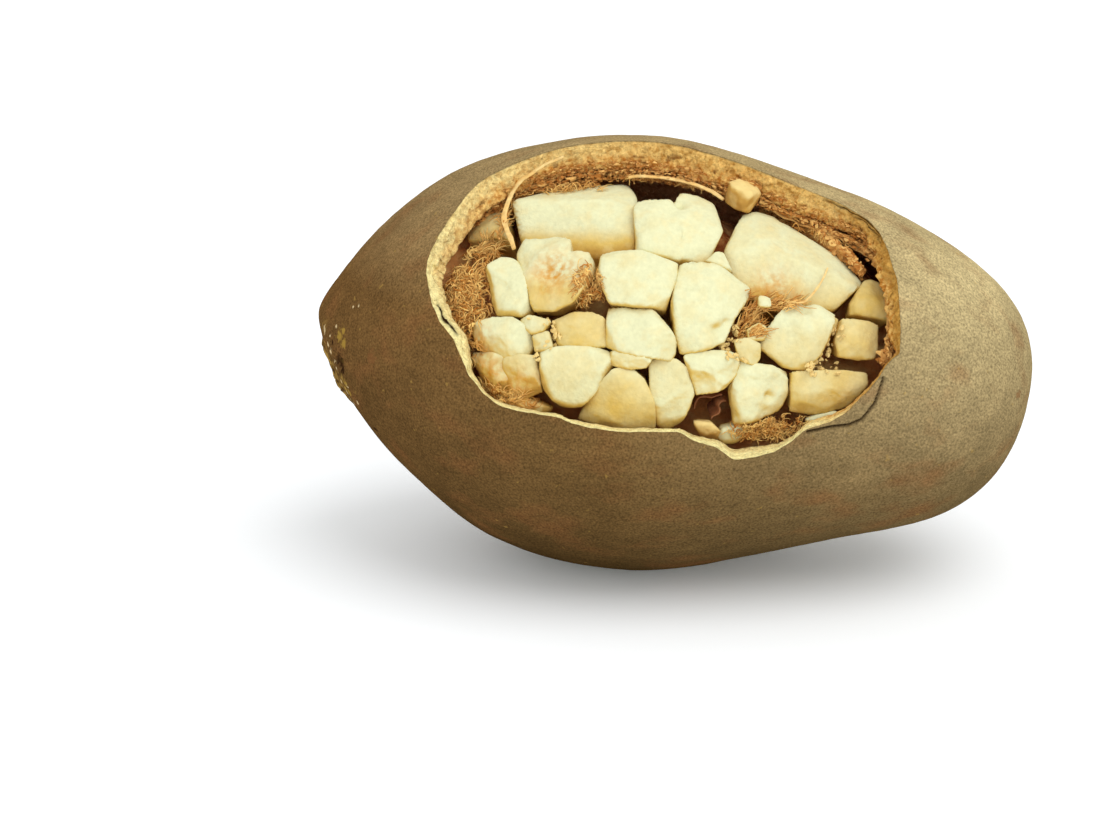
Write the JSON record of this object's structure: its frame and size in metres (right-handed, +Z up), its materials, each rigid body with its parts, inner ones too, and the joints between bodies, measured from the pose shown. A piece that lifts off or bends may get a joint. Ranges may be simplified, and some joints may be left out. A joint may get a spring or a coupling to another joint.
{
  "type": "baobab fruit pod",
  "caption": "Woody oval seed pod lying on its side, broken open along one flank, filled with dry chalky pulp lumps bound by fibres and thin membranes.",
  "frame": {"origin": "middle of the bounding box's underside, on the surface that the pod lies on", "axes": "+X along the pod from its stem scar to its blunt nose, -Y the side that the mouth opens on, +Z up"},
  "size_m": [0.1851, 0.1123, 0.1117],
  "materials": {
    "shell": "dry woody rind with a short brown-olive velvet",
    "pulp": "dry chalky pulp, matt",
    "fibre": "dry orange-brown plant fibre",
    "membrane": "dry papery pith and membrane"
  },
  "bodies": {
    "root": {"shell": "shell", "pulp_01": "pulp", "pulp_02": "pulp", "pulp_03": "pulp", "pulp_04": "pulp", "pulp_05": "pulp", "pulp_06": "pulp", "pulp_07": "pulp", "pulp_08": "pulp", "pulp_09": "pulp", "pulp_10": "pulp", "pulp_11": "pulp", "pulp_12": "pulp", "pulp_13": "pulp", "pulp_14": "pulp", "pulp_15": "pulp", "pulp_16": "pulp", "pulp_17": "pulp", "pulp_18": "pulp", "pulp_19": "pulp", "pulp_20": "pulp", "pulp_21": "pulp", "pulp_22": "pulp", "pulp_23": "pulp", "pulp_24": "pulp", "pulp_25": "pulp", "crumb_01": "pulp", "crumb_02": "pulp", "crumb_03": "pulp", "crumb_04": "pulp", "crumb_05": "pulp", "crumb_06": "pulp", "crumb_07": "pulp", "crumb_08": "pulp", "pith_lump": "membrane", "pith_bit": "membrane", "pulp_heap": "pulp", "fibres_left": "fibre", "fibres_top_left": "fibre", "fibres_middle": "fibre", "fibres_right": "fibre", "fibres_low_right": "fibre", "fibres_low_left": "fibre", "septum_strand": "membrane", "septum_strip": "membrane", "septum_fold_left": "membrane", "septum_fold_right": "membrane", "wall_flake_upper": "membrane", "wall_flake_lower": "membrane"}
  },
  "joints": []
}
